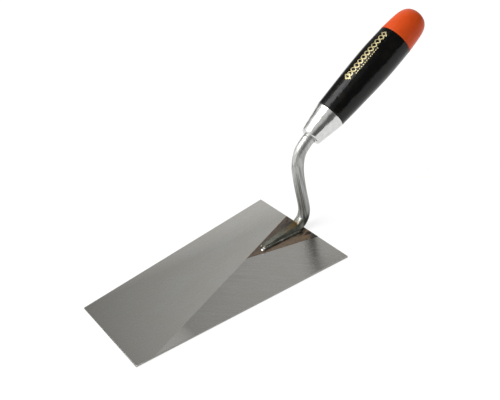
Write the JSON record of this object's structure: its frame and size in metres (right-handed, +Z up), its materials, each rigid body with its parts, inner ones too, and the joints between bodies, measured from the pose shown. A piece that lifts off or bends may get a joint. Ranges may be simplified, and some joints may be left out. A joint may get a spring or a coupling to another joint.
{
  "type": "bricklayer's trowel",
  "caption": "Bricklayer's trowel with a flat trapezoidal steel blade, a swan-neck tang, a conical ferrule and a turned wooden handle with a coloured end.",
  "frame": {"origin": "on the surface that the blade lies on, below the middle of the trowel's overall length and width", "axes": "+X from the blade's front edge towards the handle's end, +Z up from the blade, +Y across the blade"},
  "size_m": [0.3252, 0.119, 0.1395],
  "materials": {
    "ground_steel": "flat ground, with fine straight grinding marks and a brown unground patch round the tang",
    "forged_steel": "bare forged and polished rod, with golden heat tint on the foot",
    "weld_metal": "bare weld bead with heat tint",
    "polished_steel": "mirror polished",
    "black_lacquer": "turned wood under black gloss lacquer, with a plain gold ornament",
    "orange_paint": "satin orange-red paint"
  },
  "bodies": {
    "root": {"blade": "ground_steel", "tang": "forged_steel", "weld_left": "weld_metal", "weld_right": "weld_metal", "weld_tip": "weld_metal", "ferrule": "polished_steel", "grip": "black_lacquer", "end_cap": "orange_paint"}
  },
  "joints": []
}
